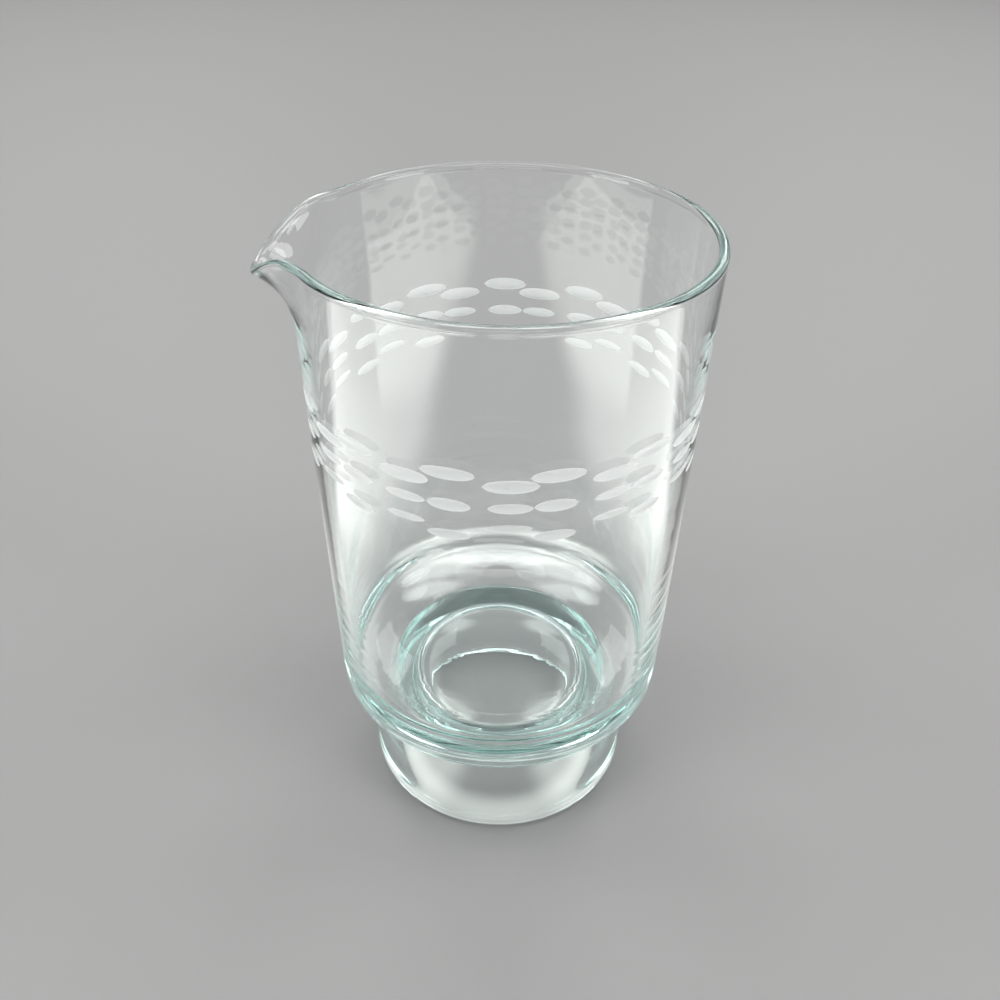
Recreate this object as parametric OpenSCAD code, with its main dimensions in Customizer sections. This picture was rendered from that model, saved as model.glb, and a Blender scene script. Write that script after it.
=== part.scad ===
// Footed glass cocktail pitcher with a pulled lip and three rows of wheel cut ovals.
// Z is the axis of the bowl, the table is at Z zero and the lip points along minus X.

/* [Bowl] */
// Height of the rim above the table
total_h = 190; // [175:1:205]
// Outer diameter of the rim
rim_d = 112; // [104:1:120]
// Outer diameter of the bowl at its heel, where the wall turns in
heel_d = 105.2; // [98:0.2:108]
// Height of the heel above the table
heel_h = 43.6; // [40:0.2:48]
// Radius of the round on the outside of the heel
heel_round = 3; // [1.5:0.5:6]
// Thickness of the wall just under the rim
rim_wall = 2.5; // [2.2:0.1:2.7]
// Diameter of the fire polished bead on the rim
bead_d = 2.8; // [2.8:0.1:3.6]
// Thickness of the wall just above the heel
heel_wall = 4.2; // [3:0.1:5]
// Radius of the round in the corner inside the bowl
corner_round = 7; // [4:0.5:9]
// Thickness of the floor
floor_wall = 6; // [4.5:0.5:8]
// Radius of the round where the floor inside starts to rise
floor_round = 14; // [8:1:18]

/* [Lip] */
// How far the pulled lip stands out past the rim
lip_reach = 10; // [6:0.5:13]
// How far the tip of the lip lies under the rim
lip_drop = 9.4; // [5:0.2:12]
// Height of the stretch of wall that the lip is pulled from
lip_h = 25; // [20:1:32]
// Width of the stretch of rim that the lip is pulled from
lip_w = 61; // [48:1:74]
// Width of the stretch of rim that sinks towards the tip
dip_w = 47; // [30:1:60]

/* [Foot] */
// Outer diameter of the foot at its widest
foot_d = 87; // [80:1:94]
// Outer diameter of the waist, where the foot is stuck to the bowl
waist_d = 74; // [68:1:80]
// Height of the seat between bowl and foot above the table
seat_h = 34; // [30:0.5:36]
// Thickness of the hollow foot's wall
foot_wall = 7.8; // [6:0.2:9]
// Radius of the outer edge that the foot stands on
foot_round = 4.5; // [3:0.5:5]
// Radius of the inner edge under the foot
inner_round = 2; // [1:0.5:3]

/* [Cut ovals] */
// Number of columns of ovals round the bowl
columns = 26; // [22:2:28]
// Height of the middle row above the table
row_h = 142.3; // [120:0.1:150]
// Distance between rows in a column of close ovals
close_step = 6.25; // [5.5:0.25:7]
// Distance between rows in a column of wide ovals
wide_step = 9; // [7.5:0.25:10]
// Length of an oval in the top row
top_len = 13.4; // [9:0.1:14]
// Width of an oval in the top row
top_w = 3.6; // [2.8:0.1:4]
// Length of an oval in the middle row
middle_len = 10.9; // [8:0.1:13]
// Width of a middle oval in a column of close ovals
close_middle_w = 2.8; // [2.2:0.1:3.6]
// Width of a middle oval in a column of wide ovals
wide_middle_w = 3.3; // [2.4:0.1:3.8]
// Length of an oval in the bottom row
bottom_len = 10.8; // [8:0.1:13]
// Width of a bottom oval in a column of close ovals
close_bottom_w = 2.2; // [1.8:0.1:3.2]
// Width of a bottom oval in a column of wide ovals
wide_bottom_w = 3; // [2.2:0.1:3.6]
// Diameter of the cutting wheel, whose rounded edge is dressed to each oval's width
wheel_d = 150; // [100:5:220]

/* [Hidden] */
$fn = 96;

// How far a cutter reaches past the glass that it takes away
overrun = 0.3;
// Distance from the lip's ends to the seam with the plain wall, and from there to their
// last section inside it, and how far they lie under the wall's skin
seam_lap = 0.8;
seam_skin = 0.05;
// How quickly the lip's pull dies away down the wall
pull_power = 2.5;
// Steps along one rounded corner, the foot's curve, the bead, the lip's height and width
arc_steps = 8;
bell_steps = 12;
bead_steps = 10;
lip_rows = 10;
lip_columns = 28;

rim_r = rim_d / 2;
heel_r = heel_d / 2;
waist_r = waist_d / 2;
foot_r = foot_d / 2;
bead_r = bead_d / 2;
// Centre of the bead, and where the wall's two faces run into it
bead_x = rim_r - bead_r;
bead_z = total_h - bead_r;
bead_angle = acos(rim_wall / bead_d);
neck_z = bead_z - bead_r * sin(bead_angle);
// The underside rises from the waist to the heel, and the inside runs level with it
rise = atan2(heel_h - seat_h, heel_r - waist_r);
inner_heel_r = heel_r - heel_wall;
inner_heel_z = heel_h + heel_wall * (1 / cos(rise) - tan(rise));
floor_z = seat_h + floor_wall;
inner_floor_r = inner_heel_r - (inner_heel_z - floor_z) / tan(rise);
// Angles at the axis that the lip takes up
lip_half = asin(lip_w / 2 / rim_r);
dip_half = asin(dip_w / 2 / rim_r);
seam_half = lip_half + seam_lap / rim_r * 180 / PI;
lap_half = 2 * seam_half - lip_half;

// Arc round a centre, from one angle to another
function arc(centre, radius, from, to, steps) = [
    for (i = [0:steps])
        let (angle = from + (to - from) * i / steps)
        centre + radius * [cos(angle), sin(angle)]
];

// Round of a given radius in the corner at point, between the points before and after it
function corner(before, point, after, radius) =
    let (
        u = (before - point) / norm(before - point),
        v = (after - point) / norm(after - point),
        half = acos(u * v) / 2,
        centre = point + (u + v) / norm(u + v) * radius / sin(half),
        start = point + u * radius / tan(half) - centre,
        end = point + v * radius / tan(half) - centre,
        from = atan2(start.y, start.x),
        turn = atan2(end.y, end.x) - from,
        short = turn > 180 ? turn - 360 : turn < -180 ? turn + 360 : turn
    )
    arc(centre, radius, from, from + short, arc_steps);

// Outer radius and thickness of the plain wall at a height
function wall_share(z) = (neck_z - z) / (neck_z - heel_h);
neck_r = bead_x + rim_wall / 2;
function wall_r(z) = neck_r + (heel_r - neck_r) * wall_share(z);
function wall_t(z) = rim_wall + (heel_wall - rim_wall) * wall_share(z);

// Half section of the bowl
module bowl_section() {
    seat_edge = [waist_r, seat_h];
    heel = [heel_r, heel_h];
    outer_neck = [neck_r, neck_z];
    inner_neck = [neck_r - rim_wall, neck_z];
    inner_heel = [inner_heel_r, inner_heel_z];
    inner_floor = [inner_floor_r, floor_z];
    polygon(concat(
        [[0, seat_h], seat_edge],
        corner(seat_edge, heel, outer_neck, heel_round),
        arc([bead_x, bead_z], bead_r, -bead_angle, 180 + bead_angle, bead_steps),
        corner(inner_neck, inner_heel, inner_floor, corner_round),
        corner(inner_heel, inner_floor, [0, floor_z], floor_round),
        [[0, floor_z]]
    ));
}

// The bowl as it is blown, before the lip is pulled and the ovals are cut
module blank() {
    rotate_extrude() bowl_section();
}

// The stretch of wall that the lip is pulled from
module lip_blank() {
    rotate([0, 0, 180 - seam_half])
        rotate_extrude(angle = 2 * seam_half)
            translate([rim_r - lip_reach, total_h - lip_h - seam_lap])
                square([2 * lip_reach, lip_h + seam_lap + overrun]);
}

// Smooth bump that is one in the middle and zero from half outwards
function bump(angle, half) = abs(angle) >= half ? 0 : (1 + cos(180 * angle / half)) / 2;

// How much of the lip's pull and of its dip is left at a depth under the bead
function dip_share(depth) = max(0, 1 - depth / (lip_h - bead_r));
function pull_share(depth) = pow(dip_share(depth), pull_power);

// Middle of the wall in the lip, at an angle from its tip and a depth under the bead
function lip_middle(angle, depth) = [
    bead_x + (wall_r(bead_z - depth) - wall_t(bead_z - depth) / 2 - wall_r(bead_z) + wall_t(bead_z) / 2)
        + lip_reach * bump(angle, lip_half) * pull_share(depth),
    bead_z - depth - lip_drop * bump(angle, dip_half) * dip_share(depth)
];

// Direction of the wall there, pointing up
function lip_up(angle, depth) =
    let (
        reach = seam_lap / 2,
        upper = lip_middle(angle, max(0, depth - reach)),
        lower = lip_middle(angle, depth + reach)
    )
    (upper - lower) / norm(upper - lower);

// Section of the lip at an angle from its tip, from the outside over the bead to the inside
function lip_section(angle) =
    let (
        deepest = lip_h - bead_r,
        depths = concat(
            [deepest + 2 * seam_lap],
            [for (i = [lip_rows:-1:1]) deepest * i / lip_rows]
        ),
        skin = [for (depth = depths)
            abs(angle) >= lip_half || depth >= deepest ? seam_skin : 0],
        sides = [for (i = [0:len(depths) - 1])
            let (
                middle = lip_middle(angle, depths[i]),
                up = lip_up(angle, depths[i]),
                out = [up.y, -up.x],
                half = wall_t(bead_z - depths[i]) / 2 - skin[i]
            )
            [middle + half * out, middle - half * out]],
        tip = lip_middle(angle, 0),
        tip_up = lip_up(angle, 0),
        tip_out = [tip_up.y, -tip_up.x],
        tip_r = bead_r - (abs(angle) >= lip_half ? seam_skin : 0),
        bead = [for (p = arc([0, 0], tip_r, -bead_angle, 180 + bead_angle, bead_steps))
            tip + p.x * tip_out + p.y * tip_up]
    )
    concat(
        [for (side = sides) side[0]],
        bead,
        [for (i = [len(sides) - 1:-1:0]) sides[i][1]]
    );

// The pulled lip, as a band of sections that fan out round the axis
module pulled_lip() {
    angles = concat(
        [-lap_half],
        [for (i = [0:lip_columns]) lip_half * (2 * i / lip_columns - 1)],
        [lap_half]
    );
    sections = [for (angle = angles) lip_section(angle)];
    count = len(sections[0]);
    last = len(angles) - 1;
    points = [for (k = [0:last], p = sections[k])
        [p.x * cos(180 + angles[k]), p.x * sin(180 + angles[k]), p.y]];
    skin = [for (k = [0:last - 1], i = [0:count - 1])
        let (
            j = (i + 1) % count,
            a = k * count + i,
            b = k * count + j,
            c = (k + 1) * count + j,
            d = (k + 1) * count + i
        )
        each [[a, b, c], [a, c, d]]];
    // Each end is closed by a ladder of triangles between its outside and its inside
    ends = [for (i = [0:floor(count / 2) - 1])
        let (
            a = i,
            b = i + 1,
            c = count - 2 - i,
            d = count - 1 - i,
            far = last * count
        )
        each b == c
            ? [[a, d, b], [far + a, far + b, far + d]]
            : b > c ? []
            : [[a, d, c], [a, c, b], [far + a, far + c, far + d], [far + a, far + b, far + c]]];
    polyhedron(points, concat(skin, ends), convexity = 6);
}

// Depth that the wheel has to go in for an oval of a given length
function cut_depth(length, wall) = length * length / 8 * (2 / wheel_d + 1 / wall);

// Rounded edge of the wheel where it cuts one oval
module oval_cut(length, width, height) {
    wall = wall_r(height);
    depth = cut_depth(length, wall);
    edge_r = (width * width / 4 + depth * depth) / (2 * depth);
    wheel_r = wheel_d / 2;
    half_sweep = asin((length / 2 + 3 * overrun) / wheel_r);
    translate([wall - depth + wheel_r, 0, height])
        rotate([0, 0, 180 - half_sweep])
            rotate_extrude(angle = 2 * half_sweep)
                translate([wheel_r - edge_r, 0])
                    circle(r = edge_r);
}

// Every second column of ovals, from a first column, with its rows a step apart
module oval_columns(first, step, middle_w, bottom_w) {
    for (i = [first:2:columns - 1])
        rotate([0, 0, 360 * i / columns - 90]) {
            oval_cut(top_len, top_w, row_h + step);
            oval_cut(middle_len, middle_w, row_h);
            oval_cut(bottom_len, bottom_w, row_h - step);
        }
}

// Blown bowl with its pulled lip and its cut ovals
module bowl() {
    color([0.80, 0.92, 0.89], 0.45)
        union() {
            difference() {
                difference() {
                    difference() {
                        blank();
                        lip_blank();
                    }
                    oval_columns(0, close_step, close_middle_w, close_bottom_w);
                }
                oval_columns(1, wide_step, wide_middle_w, wide_bottom_w);
            }
            pulled_lip();
        }
}

// Radius of the foot's outside, from the waist at zero to the standing edge at one
function bell_r(part) = waist_r + (foot_r - waist_r) * sin(90 * part);

// Half section of the hollow foot
module foot_section() {
    edge_z = foot_round;
    drop = seat_h - edge_z;
    outside = [for (i = [0:bell_steps - 1])
        [bell_r(i / bell_steps), seat_h - drop * i / bell_steps]];
    inside = [for (i = [bell_steps:-1:0])
        [bell_r(i / bell_steps) - foot_wall, seat_h - drop * i / bell_steps]];
    inner_r = foot_r - foot_wall;
    polygon(concat(
        outside,
        arc([foot_r - foot_round, foot_round], foot_round, 0, -90, arc_steps),
        arc([inner_r + inner_round, inner_round], inner_round, 270, 180, arc_steps),
        inside
    ));
}

// Hollow foot, stuck to the underside of the bowl
module foot() {
    color([0.72, 0.90, 0.86], 0.55)
        rotate_extrude() foot_section();
}

bowl();
foot();
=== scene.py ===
"""Looks of the glass cocktail pitcher: one skin of clear glass over bowl and foot, with ground ovals."""

import math

import bmesh
import bpy
import numpy as np
from mathutils import Matrix, Vector


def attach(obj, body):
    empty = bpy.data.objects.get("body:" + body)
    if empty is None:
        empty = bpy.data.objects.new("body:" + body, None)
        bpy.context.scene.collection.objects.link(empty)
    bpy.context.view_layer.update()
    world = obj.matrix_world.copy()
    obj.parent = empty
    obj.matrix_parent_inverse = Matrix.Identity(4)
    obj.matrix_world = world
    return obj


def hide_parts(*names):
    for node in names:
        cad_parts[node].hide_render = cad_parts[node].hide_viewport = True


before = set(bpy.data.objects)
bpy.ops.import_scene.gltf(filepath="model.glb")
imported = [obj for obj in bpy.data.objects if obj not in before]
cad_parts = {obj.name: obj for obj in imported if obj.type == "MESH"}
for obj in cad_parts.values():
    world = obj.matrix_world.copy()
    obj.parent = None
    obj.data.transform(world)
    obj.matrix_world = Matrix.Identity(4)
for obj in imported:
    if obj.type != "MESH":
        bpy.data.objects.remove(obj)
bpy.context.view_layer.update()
rng = np.random.default_rng(26)

# Sizes in millimetres, as in the part. Z is the axis, the lip points along minus X.
MM = 0.001
TOTAL_H, RIM_R, HEEL_R, HEEL_H = 190.0, 56.0, 52.6, 43.6
RIM_WALL, BEAD_R, HEEL_WALL, HEEL_ROUND = 2.5, 1.4, 4.2, 3.0
LIP_REACH, LIP_DROP, LIP_H, LIP_W, DIP_W = 10.0, 9.4, 25.0, 61.0, 47.0
PULL_POWER = 2.5
FOOT_R, WAIST_R, SEAT_H, FOOT_WALL = 43.5, 37.0, 34.0, 7.8
FOOT_ROUND, INNER_ROUND, HOLLOW_ROUND, WAIST_ROUND = 4.5, 2.0, 7.0, 1.2
# The inside ends in a round dish. The higher its power, the squarer it is.
DISH_TOP, FLOOR_WALL, DISH_POWER = 58.0, 6.0, 2.5

COLUMNS, ROW_H, CLOSE_STEP, WIDE_STEP, WHEEL_R = 26, 142.3, 6.25, 9.0, 75.0
# Lines of ovals from the lowest up: height over the middle row, width in a column of close ovals
# and in a column of wide ovals (none where that column has no oval there), and length
OVAL_LINES = (
    (-WIDE_STEP, None, 3.0, 10.8),
    (-CLOSE_STEP, 2.2, None, 10.8),
    (0.0, 2.8, 3.3, 10.9),
    (CLOSE_STEP, 3.6, None, 13.4),
    (WIDE_STEP, None, 3.6, 13.4),
)
# Rows of faces across each line of ovals
OVAL_CELLS = (4, 4, 5, 5, 5)
CLOSE_LEAN = math.radians(2.0)
# Frosted look of an oval, with painted shade: it is clearest, and so darkest, at this height of its face,
# from -1 at its lower edge to 1, where the groove's upper half faces down
PAINTED_SHADE_AT = 0.3
# Strays of hand cutting: up, along, shares of the length and of the width, and tilt in degrees
STRAY_UP, STRAY_ALONG, STRAY_LENGTH, STRAY_WIDTH = 0.16, 0.12, (0.965, 1.01), (0.95, 1.06)
STRAY_TILT = 1.3
# Small air bubbles: how many, between which heights, clear of which heights, and their radii
SEEDS, SEEDS_AT, SEEDS_OFF, SEED_SIZES = 40, (98, 180), (120, 160), (0.06, 0.17)

BEAD_X, BEAD_Z = RIM_R - BEAD_R, TOTAL_H - BEAD_R
BEAD_ANGLE = math.acos(RIM_WALL / 2 / BEAD_R)
NECK_R = BEAD_X + RIM_WALL / 2
NECK_Z = BEAD_Z - BEAD_R * math.sin(BEAD_ANGLE)
RISE = math.atan2(HEEL_H - SEAT_H, HEEL_R - WAIST_R)
FLOOR_Z = SEAT_H + FLOOR_WALL
LIP_HALF = math.asin(LIP_W / 2 / RIM_R)
DIP_HALF = math.asin(DIP_W / 2 / RIM_R)
DEEPEST = LIP_H - BEAD_R

# Points in a ring: through the ovals, beside them, and elsewhere
BELT, FINE, COARSE = 1040, 520, 260


def angles(count):
    return np.arange(count) * 2 * math.pi / count


def wall_share(z):
    return (NECK_Z - z) / (NECK_Z - HEEL_H)


def wall_r(z):
    return NECK_R + (HEEL_R - NECK_R) * wall_share(z)


def wall_t(z):
    return RIM_WALL + (HEEL_WALL - RIM_WALL) * wall_share(z)


def smooth(x, low, high):
    t = np.clip((x - low) / (high - low), 0, 1)
    return t * t * (3 - 2 * t)


# Slow unevenness of blown glass: size of each number of waves in a ring, each twisted a little
WAVE_SIZES = {2: 0.10, 3: 0.07, 5: 0.040, 7: 0.030, 9: 0.024, 12: 0.016, 16: 0.010}
waves = [
    (k, rng.uniform(0, 2 * math.pi), rng.uniform(-1, 1) / 30, size)
    for k, size in WAVE_SIZES.items()
]
# Spacing and size of the horizontal hoops left by the blowing and the paddle
HOOPS = ((3.3, 0.0018), (5.1, 0.0032), (8.7, 0.006))
# The outside hardly strays, the inside strays more: share of the waves, share and phase of the hoops
OUTSIDE, INSIDE = (1.0, 1.0, 1.3), (1.6, 1.4, 2.9)


def wobble(a, z):
    """Slow waves, gone at the heel and under the rim."""
    total = sum(size * np.sin(k * a + p + twist * z) for k, p, twist, size in waves)
    return total * smooth(z, 44, 60) * (1 - smooth(z, 165, 186))


def hoops(a, z, phase):
    """Hoops in the lowest stretch of the wall, not quite level."""
    total = sum(
        size * np.sin(2 * math.pi * z / w + phase * i + 0.7 * np.sin(a + phase + i) + 0.4 * np.sin(2 * a + i))
        for i, (w, size) in enumerate(HOOPS)
    )
    return total * smooth(z, 47, 52) * (1 - smooth(z, 74, 96))


def ring(r, z, count=COARSE):
    a = angles(count)
    r, z = np.broadcast_to(r, a.shape), np.broadcast_to(z, a.shape)
    return np.stack([r * np.cos(a), r * np.sin(a), z], -1)


def wall_ring(r, z, side, count=COARSE):
    """Ring of points on the uneven outside or inside of the wall."""
    a = angles(count)
    wave_share, hoop_share, phase = side
    return ring(r + wave_share * wobble(a, z) + hoop_share * hoops(a, z, phase), z, count)


def arc(cx, cz, r, start, stop, steps):
    t = np.linspace(start, stop, steps + 1)
    return [(cx + r * math.cos(x), cz + r * math.sin(x)) for x in t]


def corner(before, point, after, r, steps):
    """Round of radius r in the corner at a point, between the points before and after it."""
    b, p, f = (np.array(x, float) for x in (before, point, after))
    u, v = (b - p) / np.linalg.norm(b - p), (f - p) / np.linalg.norm(f - p)
    half = math.acos(float(u @ v)) / 2
    c = p + (u + v) / np.linalg.norm(u + v) * r / math.sin(half)
    s, e = p + u * r / math.tan(half) - c, p + v * r / math.tan(half) - c
    start = math.atan2(s[1], s[0])
    turn = (math.atan2(e[1], e[0]) - start + math.pi) % (2 * math.pi) - math.pi
    return arc(c[0], c[1], r, start, start + turn, steps)


def bell(u, wall=0.0):
    """Point on the flared side of the foot, from 0 at the waist to 1 where the rounded edge starts,
    or a wall's thickness inside it."""
    flare = (FOOT_R - WAIST_R) * math.sin(math.pi / 2 * u)
    return WAIST_R + flare - wall, SEAT_H - (SEAT_H - FOOT_ROUND) * u


# The lip: the rim is pulled out and dips, and the pull fades away down the wall
def bump(a, half):
    return np.where(np.abs(a) < half, (1 + np.cos(math.pi * a / half)) / 2, 0)


def lip_middle(a, depth):
    """Middle of the wall at a depth under the middle of the bead, at angles from the lip."""
    dip = max(0.0, 1 - depth / DEEPEST)
    z = BEAD_Z - depth
    r = BEAD_X + wall_r(z) - wall_t(z) / 2 - wall_r(BEAD_Z) + wall_t(BEAD_Z) / 2
    return (
        r + LIP_REACH * bump(a, LIP_HALF) * dip**PULL_POWER,
        z - LIP_DROP * bump(a, DIP_HALF) * dip,
    )


def lip_frame(a, depth):
    """Middle of the wall in the lip, the wall's direction up and its direction out."""
    m = np.stack(lip_middle(a, depth), -1)
    up = np.stack(lip_middle(a, max(0.0, depth - 0.4)), -1) - np.stack(lip_middle(a, depth + 0.4), -1)
    up /= np.linalg.norm(up, axis=1)[:, None]
    return m, up, np.stack([up[:, 1], -up[:, 0]], -1)


def lip_ring(depth, side):
    """Ring on the outside or the inside of the upper wall, at a depth under the bead's middle."""
    m, _, out = lip_frame(angles(COARSE) - math.pi, depth)
    half = wall_t(BEAD_Z - depth) / 2
    p = m + (half if side is OUTSIDE else -half) * out
    return wall_ring(p[:, 0], p[:, 1], side)


def bead_rings(steps):
    m, up, out = lip_frame(angles(COARSE) - math.pi, 0.0)
    rings = []
    for t in np.linspace(-BEAD_ANGLE, math.pi + BEAD_ANGLE, steps + 1):
        p = m + BEAD_R * (math.cos(t) * out + math.sin(t) * up)
        rings.append(ring(p[:, 0], p[:, 1]))
    return rings


# Cut ovals: each is a little off its place, its length and its width, as cut by hand
def oval_line(height, close_w, wide_w, length):
    """One level line of ovals: at each column of the mesh, the height of the line, the radius of the
    wheel's edge, and half the angle of that edge that is in the glass (zero beside the ovals)."""
    ovals = []
    for i in range(COLUMNS):
        width = wide_w if i % 2 else close_w
        if width is None:
            continue
        z = ROW_H + height + rng.uniform(-STRAY_UP, STRAY_UP)
        r = wall_r(z)
        lean = 0.0 if i % 2 else CLOSE_LEAN
        stray = rng.uniform(-STRAY_ALONG, STRAY_ALONG) / r
        centre = 2 * math.pi * i / COLUMNS - math.pi / 2 + lean + stray
        half = length / 2 * rng.uniform(*STRAY_LENGTH)
        deep = half * half / 2 * (1 / WHEEL_R + 1 / r)
        wide = width * rng.uniform(*STRAY_WIDTH)
        edge = (wide * wide / 4 + deep * deep) / (2 * deep)
        tilt = math.tan(math.radians(rng.uniform(-STRAY_TILT, STRAY_TILT)))
        ovals.append((centre, z, half, deep, edge, tilt, r))
    centre, z, half, deep, edge, tilt, r = np.array(ovals).T
    off = (angles(BELT)[:, None] - centre + math.pi) % (2 * math.pi) - math.pi
    near = np.abs(off).argmin(1)
    along = off[np.arange(BELT), near] * r[near]
    share = np.clip(1 - (along / half[near]) ** 2, 0, 1)
    ends = np.concatenate([centre - half / r, centre + half / r])
    heights = np.concatenate([z - tilt * half, z + tilt * half])
    middle = np.interp(angles(BELT), ends, heights, period=2 * math.pi)
    return middle, edge[near], np.arccos(1 - deep[near] * share / edge[near])


def oval_belt(low, high):
    """Rings through the five lines of ovals, between the plain heights low and high. Each ring is
    (points, which faces above it are cut, how near each point is to an oval's outline)."""
    rings = []

    def add(z, depth=0.0, cut=None, rim=None):
        rings.append((wall_ring(wall_r(z) - depth, z, OUTSIDE, BELT), cut, rim))

    below = np.full(BELT, low)
    for line, cells in zip(OVAL_LINES, OVAL_CELLS):
        middle, edge, sweep = oval_line(*line)
        cut = sweep > 0
        sides = np.linspace(-1, 1, cells + 1)
        # Beside the ovals the line keeps a little height, so that its faces have some size
        levels = [middle + edge * np.sin(side * sweep) + 0.05 * side for side in sides]
        add((below + levels[0]) / 2)
        for side, z in zip(sides, levels):
            depth = edge * (np.cos(side * sweep) - np.cos(sweep))
            # Painted light: the ground is whitest at an oval's outline, a painted highlight, and clearest, so
            # darkest, a third up its face, a painted shade
            rim = abs(side - PAINTED_SHADE_AT) / (1 - PAINTED_SHADE_AT if side > PAINTED_SHADE_AT else 1 + PAINTED_SHADE_AT)
            add(z, depth, None if side == 1 else cut | np.roll(cut, -1), np.where(cut, rim, 1.0))
        below = levels[-1]
    add(below + 0.4 * (high - below))
    return rings


def build_rings():
    """Rings from under the foot round the outside, over the bead and down the inside. Each ring is
    (points, which faces above it are cut, how near each point is to an oval's outline)."""
    rings = []

    def add(points, cut=None, rim=None):
        rings.append((points, cut, rim))

    def add_profile(profile):
        for r, z in profile:
            add(ring(r, z))

    # Foot: the hollow, the rounded edges that stand on the table, and the flared side
    add_profile([(r, SEAT_H) for r in (6, 12, 18)])
    add_profile(corner((0, SEAT_H), bell(0, FOOT_WALL), bell(0.1, FOOT_WALL), HOLLOW_ROUND, 11))
    add_profile([bell(u, FOOT_WALL) for u in np.linspace(0.3, 1, 9)])
    in_r = FOOT_R - FOOT_WALL + INNER_ROUND
    add_profile(arc(in_r, INNER_ROUND, INNER_ROUND, math.pi, 1.5 * math.pi, 15))
    add_profile(arc(FOOT_R - FOOT_ROUND, FOOT_ROUND, FOOT_ROUND, -math.pi / 2, 0, 10))
    add_profile([bell(u) for u in np.linspace(1, 0.08, 16)[1:]])
    # Waist, with the small fillet where the hot foot took hold, and the underside of the bowl
    up = (WAIST_R + 3 * math.cos(RISE), SEAT_H + 3 * math.sin(RISE))
    add_profile(corner(bell(0.08), (WAIST_R, SEAT_H), up, WAIST_ROUND, 6))
    for t in (0.25, 0.45, 0.65):
        add(ring(WAIST_R + t * (HEEL_R - WAIST_R), SEAT_H + t * (HEEL_H - SEAT_H)))
    heel = corner((WAIST_R, SEAT_H), (HEEL_R, HEEL_H), (NECK_R, NECK_Z), HEEL_ROUND, 8)
    add_profile(heel)
    # Outside of the wall up to the ovals, with close rings where the hoops are, and past them
    low_wall = np.arange(heel[-1][1] + 0.8, 80, 1.4)
    for z in np.concatenate([low_wall, np.arange(82, 98, 3), np.arange(101, 117, 5)]):
        add(wall_ring(wall_r(z), z, OUTSIDE))
    for z in (119, 125):
        add(wall_ring(wall_r(z), z, OUTSIDE, FINE))
    for line in oval_belt(125.0, 157.0):
        add(*line)
    for z in (157, 160):
        add(wall_ring(wall_r(z), z, OUTSIDE, FINE))
    # Upper wall with the lip, the bead, and the inside down to under the lip
    depths = (26, 23.5, 20.8, 18, 15.2, 12.5, 10, 7.8, 5.8, 4, 2.4, 1.1)
    for depth in depths:
        add(lip_ring(depth, OUTSIDE))
    for points in bead_rings(16):
        add(points)
    for depth in reversed(depths):
        add(lip_ring(depth, INSIDE))
    # Inside of the wall and the dish at its bottom
    low_wall = np.arange(78.6, DISH_TOP + 0.7, -1.4)
    for z in np.concatenate([(157, 152), np.arange(147, 98, -6), np.arange(97, 80, -3), low_wall]):
        add(wall_ring(wall_r(z) - wall_t(z), z, INSIDE))
    dish_r = wall_r(DISH_TOP) - wall_t(DISH_TOP)
    for t in np.linspace(0, math.pi / 2, 31)[:-1]:
        across, down = math.cos(t) ** (2 / DISH_POWER), math.sin(t) ** (2 / DISH_POWER)
        add(wall_ring(dish_r * across, DISH_TOP - (DISH_TOP - FLOOR_Z) * down, INSIDE))
    return rings


def skin_mesh(rings):
    """Closed mesh through the rings, with a pole at each end: its points, its faces, the cut mark of
    each face, and how near each point is to an oval's outline."""
    points, faces, cut, rims = [], [], [], []
    starts = []
    total = 0
    for p, _, rim in rings:
        starts.append(total)
        points.append(p)
        rims.append(np.ones(len(p)) if rim is None else rim)
        total += len(p)
    points.append(np.array([rings[0][0].mean(0), rings[-1][0].mean(0)]))
    rims.append(np.ones(2))
    for k in range(len(rings) - 1):
        a0, n0, a1, n1 = starts[k], len(rings[k][0]), starts[k + 1], len(rings[k + 1][0])
        mark = rings[k][1]
        if n0 == n1:
            i = np.arange(n0)
            j = (i + 1) % n0
            faces.extend(np.stack([a0 + i, a0 + j, a1 + j, a1 + i], 1).tolist())
            cut.extend([False] * n0 if mark is None else mark.tolist())
        else:
            # One ring has twice the points of the other: three triangles to each of its steps
            wide, thin, flip = (a0, a1, False) if n0 < n1 else (a1, a0, True)
            count = min(n0, n1)
            for i in range(count):
                c0, c1 = wide + i, wide + (i + 1) % count
                f0, f1, f2 = thin + 2 * i, thin + 2 * i + 1, thin + (2 * i + 2) % (2 * count)
                new = [[c0, f1, f0], [c0, c1, f1], [c1, f2, f1]]
                faces.extend([x[::-1] for x in new] if flip else new)
                cut.extend([False] * 3)
    for ring_index, pole, flip in ((0, total, True), (len(rings) - 1, total + 1, False)):
        start, count = starts[ring_index], len(rings[ring_index][0])
        for i in range(count):
            f = [start + i, start + (i + 1) % count, pole]
            faces.append(f[::-1] if flip else f)
            cut.append(False)
    return np.concatenate(points), faces, cut, np.concatenate(rims)


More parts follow.
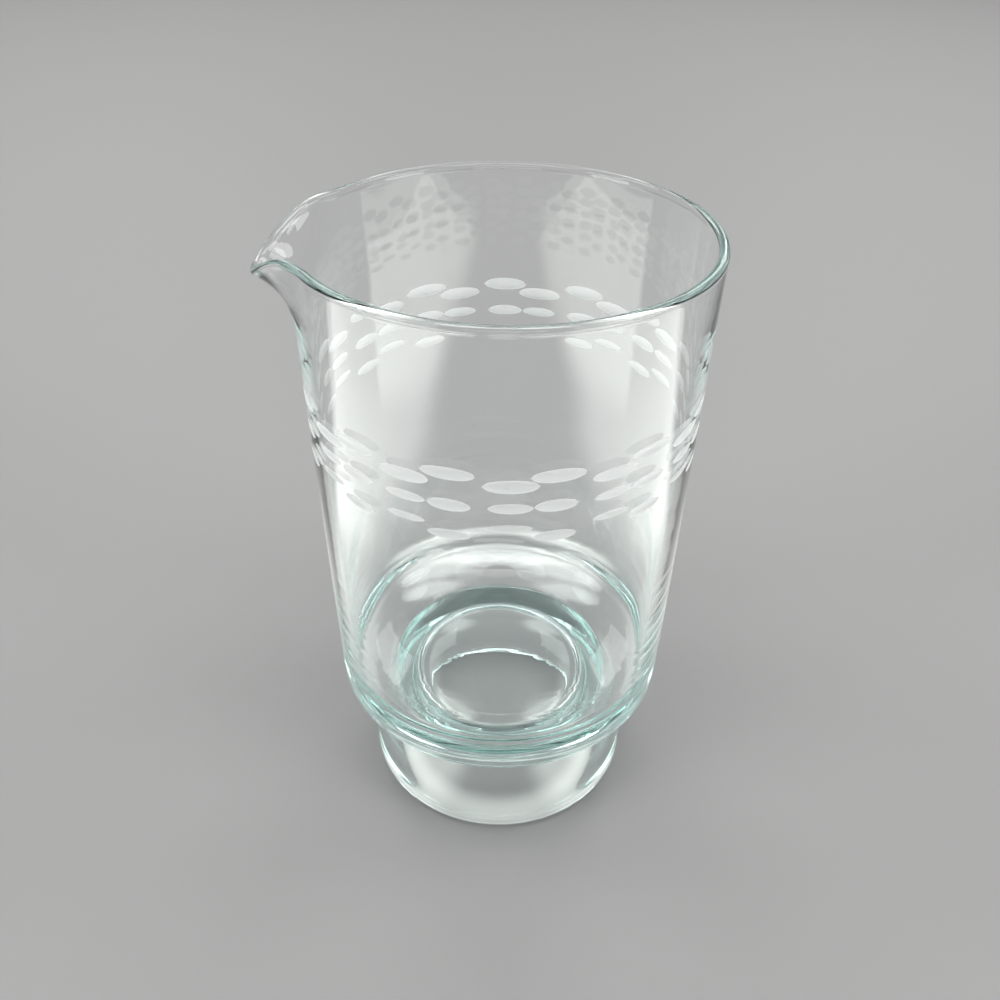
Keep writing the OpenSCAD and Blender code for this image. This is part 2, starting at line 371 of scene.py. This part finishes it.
def seeds():
    """Small air bubbles inside the wall, clear of the ovals. Each is a little long, and turned
    inside out, because its inside is air."""
    bm = bmesh.new()
    bmesh.ops.create_icosphere(bm, subdivisions=1, radius=1)
    unit = np.array([v.co for v in bm.verts])
    tris = [[v.index for v in f.verts][::-1] for f in bm.faces]
    bm.free()
    points, faces = [], []
    rng = np.random.default_rng(7)
    for n in range(SEEDS):
        z = rng.uniform(*SEEDS_AT)
        a = rng.uniform(0, 2 * math.pi)
        if SEEDS_OFF[0] < z < SEEDS_OFF[1]:
            z = rng.uniform(SEEDS_AT[0], SEEDS_OFF[0] - 2)
        r = wall_r(z) - wall_t(z) * rng.uniform(0.4, 0.6)
        size = rng.uniform(*SEED_SIZES)
        u = np.array([math.cos(a), math.sin(a), 0])
        v = np.array([-math.sin(a), math.cos(a), 0])
        w = np.array([0, 0, 1.0])
        shape = unit @ np.stack([u * size, v * size * rng.uniform(1, 2.2), w * size])
        points.append(shape + np.array([r * math.cos(a), r * math.sin(a), z]))
        faces.extend([[i + n * len(unit) for i in f] for f in tris])
    return np.concatenate(points), faces


def make_glass():
    points, faces, cut, rims = skin_mesh(build_rings())
    more, tris = seeds()
    faces += [[i + len(points) for i in f] for f in tris]
    cut += [False] * len(tris)
    points = np.concatenate([points, more]) * MM
    rims = np.concatenate([rims, np.ones(len(more))])
    mesh = bpy.data.meshes.new("pitcher_glass")
    mesh.from_pydata(points.tolist(), [], faces)
    mesh.update()
    mesh.validate()
    mesh.polygons.foreach_set("use_smooth", np.ones(len(mesh.polygons), bool))
    cut = np.array(cut, np.float32)
    mesh.attributes.new("ground", "FLOAT", "FACE").data.foreach_set("value", cut)
    mesh.attributes.new("outline", "FLOAT", "POINT").data.foreach_set("value", rims.astype(np.float32))
    # The only sharp edges are the outlines of the ovals
    edge, size = np.empty(len(mesh.loops), np.int32), np.empty(len(faces), np.int32)
    mesh.loops.foreach_get("edge_index", edge)
    mesh.polygons.foreach_get("loop_total", size)
    count = np.bincount(edge, np.repeat(cut, size), len(mesh.edges))
    mesh.attributes.new("sharp_edge", "BOOLEAN", "EDGE").data.foreach_set("value", count == 1)
    glass = bpy.data.objects.new("pitcher_glass", mesh)
    bpy.context.scene.collection.objects.link(glass)
    return glass


def add_node(tree, kind, sockets, **settings):
    """New shader node. Each of its sockets named here is set to a value, or linked from an output
    or from the first output of a node."""
    node = tree.nodes.new("ShaderNode" + kind)
    for name, value in settings.items():
        setattr(node, name, value)
    for name, value in sockets.items():
        if isinstance(value, bpy.types.Node):
            value = value.outputs[0]
        if isinstance(value, bpy.types.NodeSocket):
            tree.links.new(value, node.inputs[name])
        else:
            node.inputs[name].default_value = value
    return node


def empty_material(name):
    mat = bpy.data.materials.new(name)
    mat.use_nodes = True
    mat.node_tree.nodes.clear()
    return mat


GLASS_IOR = 1.51
GLASS_TINT, TINT_DENSITY = (0.55, 0.93, 0.87, 1), 11.0
GROUND_COLOUR = (0.95, 0.97, 0.96, 1)
# Height of the finest relief, in metres
HOOP_RELIEF, GROUND_RELIEF = 0.00006, 0.00006


def glass_material():
    mat = empty_material("clear_glass")
    tree = mat.node_tree
    place = add_node(tree, "TexCoord", {}).outputs["Object"]
    height = add_node(tree, "SeparateXYZ", {0: place}).outputs["Z"]

    # Fine hoops: noise stretched flat, strong low in the wall, faint above, and none in the foot
    flat = add_node(tree, "Mapping", {"Vector": place, "Scale": (9, 9, 240)})
    hoop = add_node(tree, "TexNoise", {"Vector": flat, "Scale": 1.0, "Detail": 2.0})
    fade = {"Value": height, "From Min": 0.062, "From Max": 0.100, "To Min": 1.0, "To Max": 0.12}
    above = add_node(tree, "MapRange", fade)
    fade = {"Value": height, "From Min": 0.036, "From Max": 0.044, "To Max": above}
    strength = add_node(tree, "MapRange", fade)
    relief = {"Distance": HOOP_RELIEF, "Strength": strength, "Height": hoop.outputs["Fac"]}
    clear = add_node(tree, "BsdfPrincipled", {
        "Base Color": (1, 1, 1, 1), "Transmission Weight": 1.0, "IOR": GLASS_IOR,
        "Roughness": 0.0, "Normal": add_node(tree, "Bump", relief),
    })

    # Ground faces of the ovals: satin, with the fine marks of the wheel along each cut
    grain = add_node(tree, "TexNoise", {"Vector": place, "Scale": 2600, "Detail": 3.0})
    marks_at = add_node(tree, "Mapping", {"Vector": place, "Scale": (350, 350, 5200)})
    marks = add_node(tree, "TexNoise", {"Vector": marks_at, "Scale": 1.0, "Detail": 2.0})
    marks = marks.outputs["Fac"]
    both = add_node(tree, "Math", {0: grain.outputs["Fac"], 1: marks}, operation="ADD")
    relief = add_node(tree, "Bump", {"Distance": GROUND_RELIEF, "Strength": 0.6, "Height": both})
    rough = add_node(tree, "MapRange", {
        "Value": marks, "From Min": 0.3, "From Max": 0.7, "To Min": 0.30, "To Max": 0.48,
    })
    satin = add_node(tree, "BsdfPrincipled", {
        "Base Color": (0.97, 0.99, 0.98, 1), "Transmission Weight": 1.0, "IOR": GLASS_IOR,
        "Roughness": rough, "Normal": relief,
    })
    back = add_node(tree, "BsdfTranslucent", {"Color": GROUND_COLOUR, "Normal": relief})
    face = add_node(tree, "BsdfDiffuse", {"Color": GROUND_COLOUR, "Normal": relief})
    white = add_node(tree, "MixShader", {"Fac": 0.45, 1: face, 2: back})
    # An oval is whiter towards its outline and clearest a third up its face: partly a harder grind at the
    # edge, partly a painted highlight along the outline and painted shade where the groove faces down
    near = add_node(tree, "Attribute", {}, attribute_name="outline").outputs["Fac"]
    grind_and_painted_light = {"Value": near, "From Min": 0.45, "To Min": 0.62, "To Max": 0.97}
    grind_and_painted_light = add_node(tree, "MapRange", grind_and_painted_light, interpolation_type="SMOOTHSTEP")
    ground = add_node(tree, "MixShader", {"Fac": grind_and_painted_light, 1: satin, 2: white})

    mark = add_node(tree, "Attribute", {}, attribute_name="ground").outputs["Fac"]
    skin = add_node(tree, "MixShader", {"Fac": mark, 1: clear, 2: ground})
    tint = add_node(tree, "VolumeAbsorption", {"Color": GLASS_TINT, "Density": TINT_DENSITY})
    add_node(tree, "OutputMaterial", {"Surface": skin, "Volume": tint})
    return mat


FLOOR_COLOUR, FLOOR_R, FLOOR_POINTS = (0.36, 0.36, 0.357, 1), 4.0, 96
# The floor lies a hair under the foot
FLOOR_DROP = 0.00006
# Glows on the floor: place at one side, reach, strength
GLOWS = (
    ((0.025, -0.012), (0.018, 0.026), 0.32),
    ((0.105, 0.02), (0.05, 0.14), 0.30),
    ((0.135, 0.085), (0.08, 0.09), 0.30),
    ((0.036, 0.012), (0.012, 0.036), 0.20),
    ((0.0, 0.0), (0.045, 0.045), 0.10),
    ((0.028, 0.064), (0.018, 0.010), 0.35),
    ((0.032, 0.088), (0.030, 0.020), 0.45),
    ((0.0, 0.100), (0.050, 0.018), 0.38),
)
# Half ring under the front of the foot: radius, width, strength
FOOT_GLOW = (0.033, 0.007, 0.42)
# Painted reflection of a bright card at each side, light that the floor gives off only into reflections: from
# where to where it rises and falls along X and Y, strength
CARD_GLOW = ((0.14, 0.21), (0.54, 0.52), (-0.46, -0.44), (0.06, 0.04), 2.1)


def floor_material():
    mat = empty_material("pale_floor")
    tree = mat.node_tree
    plain = add_node(tree, "BsdfPrincipled", {"Base Color": FLOOR_COLOUR, "Roughness": 0.6})

    def calc(operation, *values):
        return add_node(tree, "Math", dict(enumerate(values)), operation=operation)

    def soft(value, low, high, top=1.0):
        """From 0 at low to top at high, with a soft start and end."""
        sockets = {"Value": value, "From Min": low, "From Max": high, "To Max": top}
        return add_node(tree, "MapRange", sockets, interpolation_type="SMOOTHSTEP")

    # Both sides of the floor are alike
    place = add_node(tree, "SeparateXYZ", {0: add_node(tree, "TexCoord", {}).outputs["Object"]})
    x, y = calc("ABSOLUTE", place.outputs["X"]), place.outputs["Y"]
    both = add_node(tree, "CombineXYZ", {"X": x, "Y": y})

    # Soft glow beside and under the pitcher, which only the glass shows
    radius, width, strength = FOOT_GLOW
    far = add_node(tree, "VectorMath", {0: both}, operation="LENGTH").outputs["Value"]
    off = calc("ABSOLUTE", calc("SUBTRACT", far, radius))
    glow = calc("MULTIPLY", soft(off, width, 0.0, strength), soft(y, 0.004, -0.014))
    for at, reach, strength in GLOWS:
        sockets = {"Vector": both, "Location": (*at, 0), "Scale": (*reach, 1)}
        ball = {"Vector": add_node(tree, "Mapping", sockets, vector_type="TEXTURE")}
        ball = add_node(tree, "TexGradient", ball, gradient_type="SPHERICAL")
        glow = calc("ADD", glow, soft(ball.outputs["Fac"], 0.0, 0.6, strength))
    path = add_node(tree, "LightPath", {}).outputs
    through = calc("MAXIMUM", path["Is Glossy Ray"], path["Is Transmission Ray"])

    # Painted reflection: the card is light from the floor that shows in the gloss of the walls alone
    inner, outer, near, behind, strength = CARD_GLOW
    across = calc("MULTIPLY", soft(x, *inner, strength), soft(x, *outer))
    along = calc("MULTIPLY", soft(y, *near), soft(y, *behind))
    mirrored = calc("GREATER_THAN", path["Glossy Depth"], 0.5)
    card_glow = calc("MULTIPLY", calc("MULTIPLY", across, along), mirrored)

    power = calc("MULTIPLY", calc("ADD", glow, card_glow), through)
    shine = add_node(tree, "Emission", {"Color": (0.98, 1.0, 0.96, 1), "Strength": power})
    add_node(tree, "OutputMaterial", {"Surface": add_node(tree, "AddShader", {0: plain, 1: shine})})
    return mat


def make_floor():
    mesh = bpy.data.meshes.new("floor")
    pts = [(FLOOR_R * math.cos(a), FLOOR_R * math.sin(a), -FLOOR_DROP) for a in angles(FLOOR_POINTS)]
    mesh.from_pydata(pts, [], [list(range(FLOOR_POINTS))])
    floor = bpy.data.objects.new("floor", mesh)
    bpy.context.scene.collection.objects.link(floor)
    mesh.materials.append(floor_material())
    return floor


# Soft panels: name, place, point they face, size, watts. Those off the middle stand at both sides.
LIGHTS = (
    ("side", (1.75, -0.95, 1.10), (0, 0, 0.1), (0.9, 0.7), 9.0),
    ("top", (0.38, -0.44, 1.96), (0, 0, 0.05), (0.56, 1.3), 6.2),
    ("high", (1.30, 0.25, 1.60), (0, 0, 0.15), (0.7, 0.7), 5.0),
    ("back", (0.80, 1.70, 1.15), (0, 0, 0.1), (0.8, 0.8), 7.0),
    ("low_side", (0.35, -0.20, 0.003), (0.35, -0.20, 1), (0.36, 0.5), 3.0),
    ("low_back", (0, 0.32, 0.003), (0, 0.32, 1), (0.5, 0.36), 2.6),
    ("front", (0, -1.60, 1.00), (0, 0, 0.1), (1.2, 0.5), 4.6),
)


def make_lights():
    for name, (x, *place), (aim_x, *aim), size, watts in LIGHTS:
        for side in (-1, 1) if x else (1,):
            data = bpy.data.lights.new(name, "AREA")
            data.shape = "ELLIPSE" if name == "high" else "RECTANGLE"
            data.size, data.size_y = size
            data.energy = watts
            light = bpy.data.objects.new(name, data)
            light.location = (side * x, *place)
            facing = Vector((side * aim_x, *aim)) - light.location
            light.rotation_euler = facing.to_track_quat("-Z", "Y").to_euler()
            light.visible_camera = False
            # The low fill lights light the ground ovals, and don't show in the glass
            light.visible_glossy = light.visible_transmission = "low" not in name
            bpy.context.scene.collection.objects.link(light)


def make_world():
    world = bpy.data.worlds.new("studio")
    world.use_nodes = True
    back = world.node_tree.nodes["Background"]
    back.inputs["Color"].default_value = (0.36, 0.36, 0.36, 1)
    bpy.context.scene.world = world


# Camera fitted to the rim, the foot and the rows of ovals: metres, degrees, millimetres
CAMERA_AT, CAMERA_TILT, CAMERA_ROLL = (-0.00064, -0.23895, 0.28084), 53.6, 0.89
CAMERA_LENS, CAMERA_SENSOR = 35.03, 36.0


def make_camera():
    data = bpy.data.cameras.new("camera")
    data.lens, data.sensor_width = CAMERA_LENS, CAMERA_SENSOR
    data.clip_start = 0.01
    cam = bpy.data.objects.new("camera", data)
    tilt = Matrix.Rotation(math.radians(CAMERA_TILT), 4, "X")
    roll = Matrix.Rotation(math.radians(CAMERA_ROLL), 4, "Z")
    cam.matrix_world = Matrix.Translation(CAMERA_AT) @ tilt @ roll
    bpy.context.scene.collection.objects.link(cam)
    bpy.context.scene.camera = cam


glass = make_glass()
glass.data.materials.append(glass_material())
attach(glass, "root")
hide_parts("bowl", "foot")
make_floor()
make_lights()
make_world()
make_camera()
bpy.context.scene.view_settings.view_transform = "Standard"
# Light runs far inside the walls: with fewer bounces the rim and the edges go black
bpy.context.scene.cycles.max_bounces = 32
bpy.context.scene.cycles.transmission_bounces = 32
bpy.context.scene.cycles.glossy_bounces = 16
